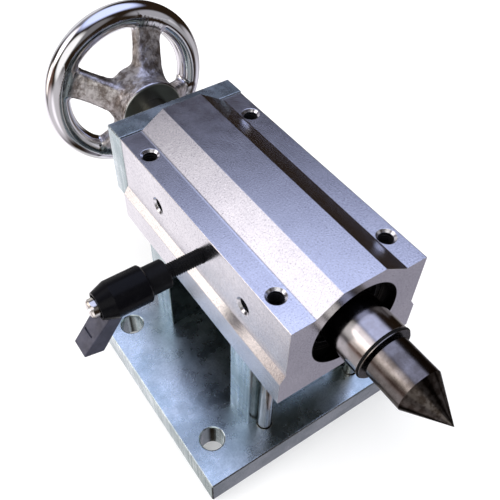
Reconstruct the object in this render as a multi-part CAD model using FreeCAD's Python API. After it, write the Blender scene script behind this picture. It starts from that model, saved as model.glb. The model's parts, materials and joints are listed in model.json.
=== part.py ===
"""Tailstock for a small rotary axis: a hand-fed quill with a live centre.

Frame: X runs across the machine, the quill axis is parallel to Y with the point
of the centre towards -Y, and Z is up.  The origin is the centre of the base
plate's underside.  All sizes are millimetres.
"""
import FreeCAD, Part
import math
import os

V = FreeCAD.Vector
X_AXIS, Y_AXIS, Z_AXIS = V(1, 0, 0), V(0, 1, 0), V(0, 0, 1)
PAST = 1.0                          # how far a cutting tool runs past the face it opens
RUNNING = 0.03                      # radial clearance of a running fit
BREAK = 0.4                         # chamfer of an ordinary broken edge

# ---- base plate and the two blocks that carry the housing --------------------
BASE_WIDTH, BASE_DEPTH, BASE_THICK, BASE_EDGE = 152.0, 140.0, 18.0, 0.6
BASE_HOLE_X, BASE_HOLE_Y, BASE_HOLE_R, BASE_HOLE_CHAMFER = 61.0, 46.5, 6.75, 0.6
BLOCK_HALF_WIDTH, BLOCK_HEIGHT, BLOCK_THICK = 39.7, 62.0, 18.0
BLOCK_Y = 41.4                      # distance of each block's middle from the origin
BLOCK_SCREW_X, BLOCK_SCREW_DEPTH, BLOCK_TAP_SPARE = 18.0, 18.0, 4.0

# ---- M8 fasteners: shank, thread in the metal, tapping size, clearance hole --
M8_R, M8_THREAD_R, M8_TAPPED_R, M8_CLEAR_R = 3.95, 3.65, 3.7, 4.5
M8_DEEP_THREAD_R, M8_DEEP_TAPPED_R = 3.35, 3.4
HEAD_R, HEAD_H, HEAD_LOW, HEAD_POCKET_R = 6.5, 8.0, 0.6, 7.0
HEAD_SOCKET, HEAD_SOCKET_DEPTH, SCREW_POINT = 6.0, 4.0, 0.8

# ---- housing: half of its outline, from the underside up ---------------------
BODY_Z = BASE_THICK + BLOCK_HEIGHT  # underside of the housing
BODY_HALF_LENGTH = 74.0
LIP_HALF_WIDTH, LIP_HEIGHT = 41.0, 16.8
BODY_HALF_WIDTH, SLOPE_TOP = 38.0, 21.7
FLANGE_HEIGHT, HUMP_FOOT, HUMP_HALF_WIDTH, HUMP_HEIGHT = 54.0, 25.4, 11.8, 62.6
FOOT_FILLET, OUTER_FILLET = 2.5, 0.5
AXIS_Z = BODY_Z + 32.4              # height of the quill axis
FLANGE_HOLE_X, FLANGE_HOLE_Y, FLANGE_HOLE_CHAMFER = 31.25, 54.5, 1.3
BODY_BOLT_GRIP, BODY_BOLT_REACH = 14.0, 28.0   # above the housing's underside
BORE_R, MOUTH_R, MOUTH_DEPTH = 22.5, 24.4, 8.0
SIDE_HOLE_Z, SIDE_HOLE_FRONT, SIDE_HOLE_REAR = BODY_Z + 35.5, -40.0, 37.5
SIDE_HOLE_CHAMFER, SET_SCREW_LENGTH, SET_SCREW_SOCKET = 1.2, 10.0, 4.0

# ---- what sits in the bore ---------------------------------------------------
FRONT_BUSH_Y, REAR_BUSH_Y, FRONT_SEAL_Y = (-58.0, -10.0), (4.0, 58.0), (-63.9, -58.0)
SEAL_GAP, SEAL_LIP, SEAL_SHOULDER = 0.08, 0.9, 1.5
RING_THICK, RING_WIDTH, RING_GROOVE_R, RING_PLAY = 1.6, 2.8, 23.7, 0.1
FRONT_RING_Y, REAR_RING_Y = -65.6, 58.2
LUG_HALF_WIDTH, LUG_DEPTH, RING_GAP_HALF, PLIER_HOLE_R, PLIER_HOLE_X = 7.0, 5.6, 2.0, 1.1, 4.4
GUIDE_R, KEYWAY_HALF_WIDTH, KEYWAY_DEPTH = 3.7, 3.0, 3.0

# ---- quill, its nut and its travel -------------------------------------------
QUILL_R, QUILL_FRONT, QUILL_REAR = 15.0, -92.4, 50.0
QUILL_OUT, QUILL_IN = 27.0, 18.0    # travel outwards and inwards from rest
POCKET_R, POCKET_FLOOR = 12.0, -75.5
CENTRE_BUSH_R, CENTRE_BUSH_END = 7.0, -63.5
QUILL_BORE_R, NUT_R, NUT_FRONT = 8.0, 10.0, 26.0
NUT_PIN_R, NUT_PIN_Y, NUT_PIN_BITE = 2.0, 38.0, 2.0

# ---- live centre and its bearings --------------------------------------------
HEAD_CENTRE_R, CENTRE_BACK, CONE_START, TIP_Y, TIP_R = 11.8, -94.7, -115.2, -135.0, 0.15
NECK_R, NECK_BACK, STEP_R, STEP_BACK, SHANK_R, SHANK_END = 7.5, -91.0, 6.0, -84.5, 5.0, -58.0
CLIP_Y, CLIP_THICK, CLIP_GROOVE_R, CLIP_R, CLIP_GAP_HALF = -63.2, 1.2, 4.0, 7.2, 2.5
CLIP_PLAY = 0.05
NOSE_SEAL_R, NOSE_SEAL_THICK, SHIELD_R, SHIELD_THICK = 15.3, 0.9, 14.7, 0.5
NOSE_SEAL_EDGE = 0.25
RADIAL_BALL_R, RADIAL_PITCH_R, RADIAL_BALLS = 1.59, 9.0, 10
RADIAL_INNER_R, RADIAL_OUTER_R = 8.0, 10.0
THRUST_BALL_R, BALL_PLAY = 2.38, 0.06
CENTRE_THRUST_PITCH_R, CENTRE_THRUST_BALLS = 8.5, 9

# ---- end plate, feed screw and its thrust bearing ----------------------------
END_HALF_WIDTH, END_THICK, END_EDGE = 38.5, 14.0, 0.5
END_BOTTOM, END_TOP = BODY_Z + 10.5, BODY_Z + 54.7
END_FRONT = BODY_HALF_LENGTH
END_REAR = END_FRONT + END_THICK
END_SCREW_X, END_SCREW_DZ, END_SCREW_R, END_SCREW_TIP = 31.0, 13.0, 3.0, 61.0
END_HEAD_R, END_HEAD_POCKET_R, END_HEAD_H, END_HEAD_SUNK = 5.0, 5.5, 6.0, 6.5
END_THREAD_R, END_TAPPED_R, END_CLEAR_R, END_SOCKET = 2.65, 2.7, 3.3, 5.0
THRUST_R, THRUST_H, THRUST_PITCH_R, SCREW_THRUST_BALLS = 13.0, 9.0, 9.5, 10
SCREW_R, SCREW_BUSH_R = 6.0, 7.5    # trapezoidal thread 12 x 3
SCREW_FRONT, SCREW_FLANGE_Y, SCREW_FLANGE_R = -2.0, 70.0, 9.5
SCREW_END_R, SCREW_TAIL = 5.0, 150.0
REAR_WASHER_THICK, WASHER_PLAY = 1.0, 0.1
COLLAR_R, COLLAR_SCREW_R, COLLAR_SCREW_Y = 10.3, 2.0, 98.0
KEY_HALF_WIDTH, KEY_LOW, KEY_HIGH, KEY_Y = 2.0, 3.5, 7.8, (114.0, 130.0)

# ---- handwheel ---------------------------------------------------------------
HUB_FRONT, HUB_REAR, HUB_R = 110.0, 136.0, 20.0
WHEEL_Y, WHEEL_R, RIM_R = 144.9, 52.6, 7.4
SPOKE_COUNT, FIRST_SPOKE_DEG = 4, 64.5
SPOKE_SECTIONS = [                  # distance from the axis, y, half width, half thickness
    (8.0, 121.0, 10.5, 8.0),
    (19.0, 127.5, 9.0, 6.2),
    (31.0, 137.0, 8.3, 5.0),
    (WHEEL_R - RIM_R, WHEEL_Y, 10.0, 5.2)]
NUT_ROOM_R, WHEEL_WASHER_R, WHEEL_WASHER_THICK = 14.0, 11.0, 2.0
WHEEL_NUT_FLATS, WHEEL_NUT_H, WHEEL_NUT_R = 17.0, 8.0, 9.6

# ---- quill clamp, along X at this y and z ------------------------------------
CLAMP_Y, CLAMP_Z = -3.5, BODY_Z + 35.4
CLAMP_BORE_R, STUD_R, STUD_TIP = 4.05, 4.0, -20.05
PAD_R, PAD_INNER, PAD_OUTER, PAD_HOLLOW_R = 3.4, -15.3, -20.0, 15.3
INSERT_R, INSERT_X, STUB_R, STUB_END = 7.4, -57.0, 5.0, -80.4
LEVER_HUB_R, LEVER_INNER, LEVER_TAPER_X, LEVER_OUTER, LEVER_FACE_R = 9.4, -68.0, -86.0, -93.0, 6.9
WEB_INNER, WEB_OUTER, LEVER_POCKET_R = -80.5, -83.0, 6.0
LEVER_SCREW_R, LEVER_SCREW_HEAD_R, SCREW_HEAD_TOP, SCREW_HEAD_FOOT = 2.5, 4.8, -97.0, -92.2
SCREW_SLOT_HALF, SCREW_SLOT_DEPTH, SCREW_SLOT_DEG, LEVER_SCREW_BITE = 0.7, 1.8, 35.0, 9.0
LEVER_LIFT = 3.0
SPRING_WIRE_HALF, SPRING_R, SPRING_TURNS, SPRING_PLAY = 0.42, 3.6, 3.0, 0.1
ARM_ROOT_HALF_WIDTH, ARM_END_HALF_WIDTH, ARM_REACH = 6.4, 5.6, 0.45
ARM_ROOT = ((-93.0, 107.2), (-84.0, 107.2))   # outer and inner corner (x, z) at the hub
ARM_END = ((-106.4, 91.2), (-96.2, 88.8))     # outer and inner corner (x, z) of the free end
ARM_ROUND = 0.6
GROOVE_RUN, GROOVE_Y, GROOVE_HALF_LENGTH, GROOVE_DEPTH = (9.8, 11.0), 0.8, 3.5, 1.0


# ---- small building helpers --------------------------------------------------
def box(x0, x1, y0, y1, z0, z1):
    return Part.makeBox(x1 - x0, y1 - y0, z1 - z0, V(x0, y0, z0))


def rod_y(radius, y0, y1, x=0.0, z=AXIS_Z):
    return Part.makeCylinder(radius, y1 - y0, V(x, y0, z), Y_AXIS)


def rod_x(radius, x0, x1, y=CLAMP_Y, z=CLAMP_Z):
    return Part.makeCylinder(radius, x1 - x0, V(x0, y, z), X_AXIS)


def rod_z(radius, z0, z1, x, y):
    return Part.makeCylinder(radius, z1 - z0, V(x, y, z0), Z_AXIS)


def cone_z(r0, r1, z0, z1, x, y):
    return Part.makeCone(r0, r1, z1 - z0, V(x, y, z0), Z_AXIS)


def tube_y(r_in, r_out, y0, y1):
    return rod_y(r_out, y0, y1).cut(rod_y(r_in, y0 - PAST, y1 + PAST))


def turned_y(profile):
    """A solid of revolution about the quill axis from (radius, y) points."""
    points = [V(radius, y, AXIS_Z) for radius, y in profile]
    face = Part.Face(Part.makePolygon(points + points[:1]))
    return face.revolve(V(0, 0, AXIS_Z), Y_AXIS, 360)


def turned_x(profile):
    """A solid of revolution about the clamp axis from (x, radius) points."""
    points = [V(x, CLAMP_Y, CLAMP_Z + radius) for x, radius in profile]
    face = Part.Face(Part.makePolygon(points + points[:1]))
    return face.revolve(V(0, CLAMP_Y, CLAMP_Z), X_AXIS, 360)


def hexagon(across_flats, height, base, direction):
    """A hexagonal prism that starts at base and points along direction."""
    corner = across_flats / 2 / math.cos(math.pi / 6)
    angles = [k * math.pi / 3 for k in range(6)]
    points = [V(corner * math.cos(a), corner * math.sin(a), 0) for a in angles]
    prism = Part.Face(Part.makePolygon(points + points[:1])).extrude(V(0, 0, height))
    prism.Placement = FreeCAD.Placement(base, FreeCAD.Rotation(Z_AXIS, direction))
    return prism


def joined(shapes):
    result = shapes[0]
    for shape in shapes[1:]:
        result = result.fuse(shape)
    return result.removeSplitter()


def without(shape, tools):
    for tool in tools:
        shape = shape.cut(tool)
    return shape


def four_corners(dx, dy):
    return [(sx * dx, sy * dy) for sx in (-1, 1) for sy in (-1, 1)]


def edges_along(shape, direction, keep):
    """The straight edges along direction whose middle passes the keep test."""
    found = []
    for edge in shape.Edges:
        if len(edge.Vertexes) != 2:
            continue
        run = edge.Vertexes[1].Point - edge.Vertexes[0].Point
        straight = run.Length > PAST and abs(run.normalize().dot(direction)) > 0.999
        if straight and keep(edge.CenterOfMass):
            found.append(edge)
    return found


# ---- base, blocks and their fasteners ----------------------------------------
def base_plate():
    half_x, half_y = BASE_WIDTH / 2, BASE_DEPTH / 2
    plate = box(-half_x, half_x, -half_y, half_y, 0, BASE_THICK)
    plate = plate.makeChamfer(BASE_EDGE, plate.Edges)
    cuts = []
    foot = BASE_THICK - BASE_HOLE_CHAMFER
    for x, y in four_corners(BASE_HOLE_X, BASE_HOLE_Y):
        cuts.append(rod_z(BASE_HOLE_R, -PAST, BASE_THICK + PAST, x, y))
        cuts.append(cone_z(BASE_HOLE_R, BASE_HOLE_R + BASE_HOLE_CHAMFER, foot, BASE_THICK, x, y))
    below = four_corners(FLANGE_HOLE_X, FLANGE_HOLE_Y) + four_corners(BLOCK_SCREW_X, BLOCK_Y)
    for x, y in below:
        cuts.append(rod_z(M8_CLEAR_R, -PAST, BASE_THICK + PAST, x, y))
        cuts.append(rod_z(HEAD_POCKET_R, -PAST, HEAD_LOW + HEAD_H + BREAK, x, y))
    return without(plate, cuts)


def support_block(middle_y):
    half_y = BLOCK_THICK / 2
    block = box(-BLOCK_HALF_WIDTH, BLOCK_HALF_WIDTH, middle_y - half_y, middle_y + half_y,
                BASE_THICK, BODY_Z)
    block = block.makeChamfer(BREAK, edges_along(block, Z_AXIS, lambda middle: True))
    tap_end = BASE_THICK + BLOCK_SCREW_DEPTH + BLOCK_TAP_SPARE
    taps = [rod_z(M8_TAPPED_R, BASE_THICK - PAST, tap_end, x, middle_y)
            for x in (-BLOCK_SCREW_X, BLOCK_SCREW_X)]
    return without(block, taps)


def cap_screw_z(x, y, thread_r, z_shank_end, z_end):
    """A socket cap screw pointing up: head, plain shank, then the threaded end."""
    head = rod_z(HEAD_R, HEAD_LOW, HEAD_LOW + HEAD_H, x, y)
    socket = hexagon(HEAD_SOCKET, HEAD_SOCKET_DEPTH + PAST, V(x, y, HEAD_LOW - PAST), Z_AXIS)
    shank = rod_z(M8_R, HEAD_LOW + HEAD_H, z_shank_end, x, y)
    thread = rod_z(thread_r, z_shank_end, z_end - SCREW_POINT, x, y)
    point = cone_z(thread_r, thread_r - SCREW_POINT, z_end - SCREW_POINT, z_end, x, y)
    return joined([head.cut(socket), shank, thread, point])


def body_bolts():
    shank_end = BODY_Z + BODY_BOLT_GRIP - SCREW_POINT
    return Part.makeCompound([
        cap_screw_z(x, y, M8_DEEP_THREAD_R, shank_end, BODY_Z + BODY_BOLT_REACH)
        for x, y in four_corners(FLANGE_HOLE_X, FLANGE_HOLE_Y)])


def block_screws():
    return Part.makeCompound([
        cap_screw_z(x, y, M8_THREAD_R, BASE_THICK - RUNNING, BASE_THICK + BLOCK_SCREW_DEPTH)
        for x, y in four_corners(BLOCK_SCREW_X, BLOCK_Y)])


# ---- housing -----------------------------------------------------------------
def housing_bar():
    """The plain extruded section, before any hole is made."""
    half = [(LIP_HALF_WIDTH, 0), (LIP_HALF_WIDTH, LIP_HEIGHT), (BODY_HALF_WIDTH, SLOPE_TOP),
            (BODY_HALF_WIDTH, FLANGE_HEIGHT), (HUMP_FOOT, FLANGE_HEIGHT),
            (HUMP_HALF_WIDTH, HUMP_HEIGHT)]
    outline = half + [(-x, z) for x, z in reversed(half)]
    points = [V(x, -BODY_HALF_LENGTH, BODY_Z + z) for x, z in outline]
    bar = Part.Face(Part.makePolygon(points + points[:1])).extrude(V(0, 2 * BODY_HALF_LENGTH, 0))
    foot = edges_along(bar, Y_AXIS, lambda p: abs(abs(p.x) - HUMP_FOOT) < RUNNING)
    bar = bar.makeFillet(FOOT_FILLET, foot)
    outer = edges_along(bar, Y_AXIS, lambda p: abs(p.x) > BODY_HALF_WIDTH - RUNNING and p.z > BODY_Z)
    return bar.makeFillet(OUTER_FILLET, outer)


def flange_hole(x, y):
    """From below: clearance, the body bolt's thread, then the free thread and its chamfer."""
    top = BODY_Z + FLANGE_HEIGHT
    bolt_thread = BODY_Z + BODY_BOLT_GRIP
    free_thread = BODY_Z + BODY_BOLT_REACH + BREAK
    foot = top - FLANGE_HOLE_CHAMFER
    return [rod_z(M8_CLEAR_R, BODY_Z - PAST, bolt_thread, x, y),
            rod_z(M8_DEEP_TAPPED_R, bolt_thread - PAST, free_thread, x, y),
            rod_z(M8_TAPPED_R, free_thread, top + PAST, x, y),
            cone_z(M8_TAPPED_R, M8_TAPPED_R + FLANGE_HOLE_CHAMFER, foot, top, x, y)]


def side_hole(y):
    mouth = -BODY_HALF_WIDTH
    chamfer = Part.makeCone(M8_TAPPED_R + SIDE_HOLE_CHAMFER, M8_TAPPED_R, SIDE_HOLE_CHAMFER,
                            V(mouth, y, SIDE_HOLE_Z), X_AXIS)
    return [rod_x(M8_TAPPED_R, mouth - PAST, -BORE_R + 2 * PAST, y, SIDE_HOLE_Z), chamfer]


def end_screw_places():
    return [(x, AXIS_Z + dz) for x in (-END_SCREW_X, END_SCREW_X)
            for dz in (-END_SCREW_DZ, END_SCREW_DZ)]


def housing():
    end = BODY_HALF_LENGTH + PAST
    cuts = [rod_y(BORE_R, -end, end), rod_y(MOUTH_R, -end, MOUTH_DEPTH - BODY_HALF_LENGTH)]
    for y in (FRONT_RING_Y, REAR_RING_Y):
        cuts.append(rod_y(RING_GROOVE_R, y - RING_PLAY, y + RING_THICK + RING_PLAY))
    for x, y in four_corners(FLANGE_HOLE_X, FLANGE_HOLE_Y):
        cuts.extend(flange_hole(x, y))
    for y in (SIDE_HOLE_FRONT, SIDE_HOLE_REAR):
        cuts.extend(side_hole(y))
    cuts.append(rod_x(CLAMP_BORE_R, -BODY_HALF_WIDTH - PAST, -BORE_R + 2 * PAST))
    cuts.append(rod_z(GUIDE_R + RUNNING, BODY_Z - PAST, AXIS_Z - BORE_R + PAST, 0, CLAMP_Y))
    for x, z in end_screw_places():
        cuts.append(rod_y(END_TAPPED_R, END_SCREW_TIP - 2 * PAST, end, x, z))
    return without(housing_bar(), cuts)


def bush(span):
    return tube_y(QUILL_R + RUNNING, BORE_R, span[0], span[1])


def front_seal():
    """Wiper with a lip that leans out towards the nose of the quill."""
    front, rear = FRONT_SEAL_Y
    lip_r = QUILL_R + SEAL_GAP
    shoulder_r = lip_r + SEAL_SHOULDER
    return turned_y([(lip_r, front + SEAL_LIP), (lip_r + SEAL_LIP, front),
                     (BORE_R - SEAL_SHOULDER, front + SEAL_LIP), (BORE_R, front + 2 * SEAL_LIP),
                     (BORE_R, rear), (shoulder_r, rear), (shoulder_r, front + 2 * SEAL_LIP)])


def retaining_ring(y0):
    """Internal ring with its gap at the bottom and a plier hole in each lug."""
    y1 = y0 + RING_THICK
    floor = AXIS_Z - BORE_R
    ring = tube_y(BORE_R - RING_WIDTH, RING_GROOVE_R - RING_PLAY, y0, y1)
    lug_box = box(-LUG_HALF_WIDTH, LUG_HALF_WIDTH, y0 - PAST, y1 + PAST, floor, floor + LUG_DEPTH)
    lugs = rod_y(BORE_R - PAST, y0, y1).common(lug_box)
    lugs = lugs.cut(rod_y(QUILL_R + PAST, y0 - PAST, y1 + PAST))
    gap = box(-RING_GAP_HALF, RING_GAP_HALF, y0 - PAST, y1 + PAST, floor - RING_WIDTH,
              AXIS_Z - QUILL_R + PAST)
    holes = [rod_y(PLIER_HOLE_R, y0 - PAST, y1 + PAST, x, floor + LUG_DEPTH / 2)
             for x in (-PLIER_HOLE_X, PLIER_HOLE_X)]
    return without(joined([ring, lugs]), [gap] + holes)


def set_screw_x(y):
    """Cup-point socket set screw that holds a bush from the side hole at y."""
    tip = -BORE_R - RUNNING
    start = tip - SET_SCREW_LENGTH
    body = rod_x(M8_THREAD_R, start, tip, y, SIDE_HOLE_Z)
    socket = hexagon(SET_SCREW_SOCKET, SET_SCREW_LENGTH / 2, V(start - PAST, y, SIDE_HOLE_Z), X_AXIS)
    cup = Part.makeCone(0.0, M8_THREAD_R / 2, PAST, V(tip - PAST, y, SIDE_HOLE_Z), X_AXIS)
    return without(body, [socket, cup])


def bush_set_screws():
    return Part.makeCompound([set_screw_x(y) for y in (SIDE_HOLE_FRONT, SIDE_HOLE_REAR)])


def guide_screw():
    """Dog-point screw from below whose nose runs in the quill's keyway."""
    low = BODY_Z + PAST
    nose_top = AXIS_Z - QUILL_R + KEYWAY_DEPTH - BREAK
    body = rod_z(GUIDE_R, low, AXIS_Z - BORE_R + KEYWAY_DEPTH, 0, CLAMP_Y)
    nose = rod_z(KEYWAY_HALF_WIDTH - RUNNING, low, nose_top, 0, CLAMP_Y)
    socket = hexagon(SET_SCREW_SOCKET, SET_SCREW_SOCKET, V(0, CLAMP_Y, low - PAST), Z_AXIS)
    return joined([body, nose]).cut(socket)


# ---- end plate and feed screw ------------------------------------------------
def end_plate():
    plate = box(-END_HALF_WIDTH, END_HALF_WIDTH, END_FRONT, END_REAR, END_BOTTOM, END_TOP)
    plate = plate.makeChamfer(END_EDGE, plate.Edges)
    cuts = [rod_y(THRUST_R, END_FRONT - PAST, END_FRONT + THRUST_H),
            rod_y(SCREW_BUSH_R, END_FRONT, END_REAR + PAST)]
    for x, z in end_screw_places():
        cuts.append(rod_y(END_CLEAR_R, END_FRONT - PAST, END_REAR + PAST, x, z))
        cuts.append(rod_y(END_HEAD_POCKET_R, END_REAR - END_HEAD_SUNK, END_REAR + PAST, x, z))
    return without(plate, cuts)


def end_screw(x, z):
    head_foot = END_REAR - END_HEAD_SUNK
    head = rod_y(END_HEAD_R, head_foot, head_foot + END_HEAD_H, x, z)
    socket = hexagon(END_SOCKET, END_SOCKET, V(x, head_foot + END_HEAD_H / 2, z), Y_AXIS)
    shank = rod_y(END_THREAD_R, END_SCREW_TIP, head_foot, x, z)
    return joined([head.cut(socket), shank])


def end_plate_screws():
    return Part.makeCompound([end_screw(x, z) for x, z in end_screw_places()])


def screw_bush():
    return tube_y(SCREW_R + RUNNING, SCREW_BUSH_R, END_FRONT + THRUST_H, END_REAR)


def rear_thrust_washer():
    return tube_y(SCREW_R + WASHER_PLAY, COLLAR_R, END_REAR, END_REAR + REAR_WASHER_THICK)


def ball_track(y, pitch_r, ball_r):
    return Part.makeTorus(pitch_r, ball_r + BALL_PLAY, V(0, y, AXIS_Z), Y_AXIS)


def thrust_washers(y0, height, bore_r, outer_r, pitch_r):
    """The shaft washer at y0 and the housing washer behind it, with ball grooves."""
    thick = height / 2 - THRUST_BALL_R + THRUST_BALL_R / 3
    track = ball_track(y0 + height / 2, pitch_r, THRUST_BALL_R)
    shaft_washer = tube_y(bore_r, outer_r - WASHER_PLAY, y0, y0 + thick).cut(track)
    housing_washer = tube_y(bore_r + BREAK, outer_r, y0 + height - thick, y0 + height).cut(track)
    return shaft_washer, housing_washer


def ball_places(y, pitch_r, count):
    angles = [2 * math.pi * k / count for k in range(count)]
    return [V(pitch_r * math.cos(a), y, AXIS_Z + pitch_r * math.sin(a)) for a in angles]


def balls(y, pitch_r, ball_r, count):
    places = ball_places(y, pitch_r, count)
    return Part.makeCompound([Part.makeSphere(ball_r, place) for place in places])


def thrust_ball_cage(y, r_in, r_out, pitch_r, count):
    """Flat ring whose pockets run along the axis."""
    half = BREAK * 2
    ring = tube_y(r_in, r_out, y - half, y + half)
    pockets = [rod_y(THRUST_BALL_R + BALL_PLAY, y - PAST, y + PAST, place.x, place.z)
               for place in ball_places(y, pitch_r, count)]
    return without(ring, pockets)


def crown_cage(y):
    """Crown ring of the radial bearing: its pockets run outwards and open to the front."""
    wall = BREAK * 2
    middle = V(0, y, AXIS_Z)
    ring = tube_y(RADIAL_PITCH_R - wall, RADIAL_PITCH_R + wall, y - wall, y + RADIAL_BALL_R + wall)
    pockets = [Part.makeCylinder(RADIAL_BALL_R + BALL_PLAY, 2 * RADIAL_BALL_R + PAST,
                                 place - (place - middle).normalize() * RADIAL_BALL_R,
                                 place - middle)
               for place in ball_places(y, RADIAL_PITCH_R, RADIAL_BALLS)]
    return without(ring, pockets)


def wheel_key():
    return box(-KEY_HALF_WIDTH, KEY_HALF_WIDTH, KEY_Y[0], KEY_Y[1], AXIS_Z + KEY_LOW, AXIS_Z + KEY_HIGH)


def feed_screw():
    screw = turned_y([(0, SCREW_FRONT), (SCREW_R - PAST, SCREW_FRONT), (SCREW_R, SCREW_FRONT + PAST),
                      (SCREW_R, SCREW_FLANGE_Y), (SCREW_FLANGE_R, SCREW_FLANGE_Y),
                      (SCREW_FLANGE_R, END_FRONT), (SCREW_R, END_FRONT), (SCREW_R, HUB_REAR),
                      (SCREW_END_R, HUB_REAR), (SCREW_END_R, SCREW_TAIL - PAST),
                      (SCREW_END_R - PAST, SCREW_TAIL), (0, SCREW_TAIL)])
    return screw.cut(wheel_key())


def spacer_collar():
    front = END_REAR + REAR_WASHER_THICK + RUNNING
    collar = turned_y([(SCREW_R, front), (COLLAR_R - BREAK, front), (COLLAR_R, front + BREAK),
                       (COLLAR_R, HUB_FRONT), (SCREW_R, HUB_FRONT)])
    tapped = rod_z(COLLAR_SCREW_R + RUNNING, AXIS_Z - COLLAR_R - PAST, AXIS_Z - SCREW_R + PAST,
                   0, COLLAR_SCREW_Y)
    return collar.cut(tapped)


def collar_set_screw():
    low = AXIS_Z - COLLAR_R + BREAK
    screw = rod_z(COLLAR_SCREW_R, low, AXIS_Z - SCREW_R - BREAK, 0, COLLAR_SCREW_Y)
    socket = hexagon(COLLAR_SCREW_R, COLLAR_SCREW_R, V(0, COLLAR_SCREW_Y, low - BREAK), Z_AXIS)
    return screw.cut(socket)


# ---- handwheel ---------------------------------------------------------------
def spoke_section(radius, y, half_width, half_thick):
    """An ellipse across the spoke, which runs along +X before it is turned."""
    ellipse = Part.Ellipse(V(0, 0, 0), half_width, half_thick)
    wire = Part.Wire([ellipse.toShape()])
    turn = FreeCAD.Rotation(Z_AXIS, Y_AXIS, X_AXIS, "XYZ")
    wire.Placement = FreeCAD.Placement(V(radius, y, AXIS_Z), turn)
    return wire


def spoke(angle_deg):
    bar = Part.makeLoft([spoke_section(*section) for section in SPOKE_SECTIONS], True, False)
    bar.rotate(V(0, 0, AXIS_Z), Y_AXIS, -angle_deg)
    return bar


def handwheel():
    edge, flare = 2 * BREAK, 2 * PAST
    hub = turned_y([(0, HUB_FRONT), (HUB_R - edge, HUB_FRONT), (HUB_R, HUB_FRONT + edge),
                    (HUB_R, WHEEL_Y - HUB_REAR + HUB_FRONT + PAST), (HUB_R - flare, HUB_REAR - flare),
                    (HUB_R - 2 * flare, HUB_REAR), (0, HUB_REAR)])
    rim = Part.makeTorus(WHEEL_R - RIM_R, RIM_R, V(0, WHEEL_Y, AXIS_Z), Y_AXIS)
    spokes = [spoke(FIRST_SPOKE_DEG + 360 / SPOKE_COUNT * k) for k in range(SPOKE_COUNT)]
    shaft_bore = rod_y(SCREW_R, HUB_FRONT - PAST, HUB_REAR + PAST)
    nut_room = rod_y(NUT_ROOM_R, HUB_REAR, WHEEL_Y + HUB_R)
    return without(joined([hub] + spokes + [rim]), [shaft_bore, nut_room, wheel_key()])


def wheel_washer():
    return tube_y(SCREW_END_R + WASHER_PLAY, WHEEL_WASHER_R, HUB_REAR, HUB_REAR + WHEEL_WASHER_THICK)


def wheel_nut():
    front = HUB_REAR + WHEEL_WASHER_THICK
    rear = front + WHEEL_NUT_H
    nut = hexagon(WHEEL_NUT_FLATS, WHEEL_NUT_H, V(0, front, AXIS_Z), Y_AXIS)
    crown = rod_y(WHEEL_NUT_R, front, rear).common(nut)
    return crown.cut(rod_y(SCREW_END_R, front - PAST, rear + PAST))


# ---- quill -------------------------------------------------------------------
def nut_pin_hole():
    return rod_z(NUT_PIN_R, AXIS_Z + NUT_R - NUT_PIN_BITE, AXIS_Z + QUILL_R + PAST, 0, NUT_PIN_Y)


def quill():
    body = turned_y([(POCKET_R, QUILL_FRONT), (QUILL_R - BREAK, QUILL_FRONT),
                     (QUILL_R, QUILL_FRONT + BREAK), (QUILL_R, QUILL_REAR - PAST),
                     (QUILL_R - PAST, QUILL_REAR), (NUT_R, QUILL_REAR), (NUT_R, NUT_FRONT),
                     (QUILL_BORE_R, NUT_FRONT), (QUILL_BORE_R, CENTRE_BUSH_END),
                     (CENTRE_BUSH_R, CENTRE_BUSH_END), (CENTRE_BUSH_R, POCKET_FLOOR),
                     (POCKET_R, POCKET_FLOOR)])
    floor = AXIS_Z - QUILL_R
    keyway_end = KEYWAY_HALF_WIDTH + BREAK
    keyway = box(-KEYWAY_HALF_WIDTH, KEYWAY_HALF_WIDTH, CLAMP_Y - QUILL_IN - keyway_end,
                 CLAMP_Y + QUILL_OUT + keyway_end, floor - PAST, floor + KEYWAY_DEPTH)
    return without(body, [keyway, nut_pin_hole()])


def feed_nut():
    return tube_y(SCREW_R + RUNNING, NUT_R, NUT_FRONT, QUILL_REAR).cut(nut_pin_hole())


def nut_pin():
    return rod_z(NUT_PIN_R, AXIS_Z + NUT_R - NUT_PIN_BITE, AXIS_Z + QUILL_R - BREAK, 0, NUT_PIN_Y)


# ---- live centre and its bearings --------------------------------------------
def centre():
    clip_front, clip_rear = CLIP_Y - CLIP_PLAY, CLIP_Y + CLIP_THICK + CLIP_PLAY
    return turned_y([(0, TIP_Y), (TIP_R, TIP_Y + TIP_R), (HEAD_CENTRE_R, CONE_START),
                     (HEAD_CENTRE_R, CENTRE_BACK - BREAK), (HEAD_CENTRE_R - BREAK, CENTRE_BACK),
                     (NECK_R, CENTRE_BACK), (NECK_R, NECK_BACK), (STEP_R, NECK_BACK),
                     (STEP_R, STEP_BACK), (SHANK_R, STEP_BACK), (SHANK_R, clip_front),
                     (CLIP_GROOVE_R, clip_front), (CLIP_GROOVE_R, clip_rear), (SHANK_R, clip_rear),
                     (SHANK_R, SHANK_END - BREAK), (SHANK_R - BREAK, SHANK_END), (0, SHANK_END)])


def nose_seal():
    rear = QUILL_FRONT
    front = rear - NOSE_SEAL_THICK
    inner_r, edge = NECK_R + RUNNING, NOSE_SEAL_EDGE
    return turned_y([(inner_r, front), (NOSE_SEAL_R - edge, front), (NOSE_SEAL_R, front + edge),
                     (NOSE_SEAL_R, rear - edge), (NOSE_SEAL_R - edge, rear), (inner_r, rear)])


def nose_shield():
    front = QUILL_FRONT - NOSE_SEAL_THICK - SHIELD_THICK
    return tube_y(NECK_R + WASHER_PLAY, SHIELD_R, front, front + SHIELD_THICK)


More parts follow.
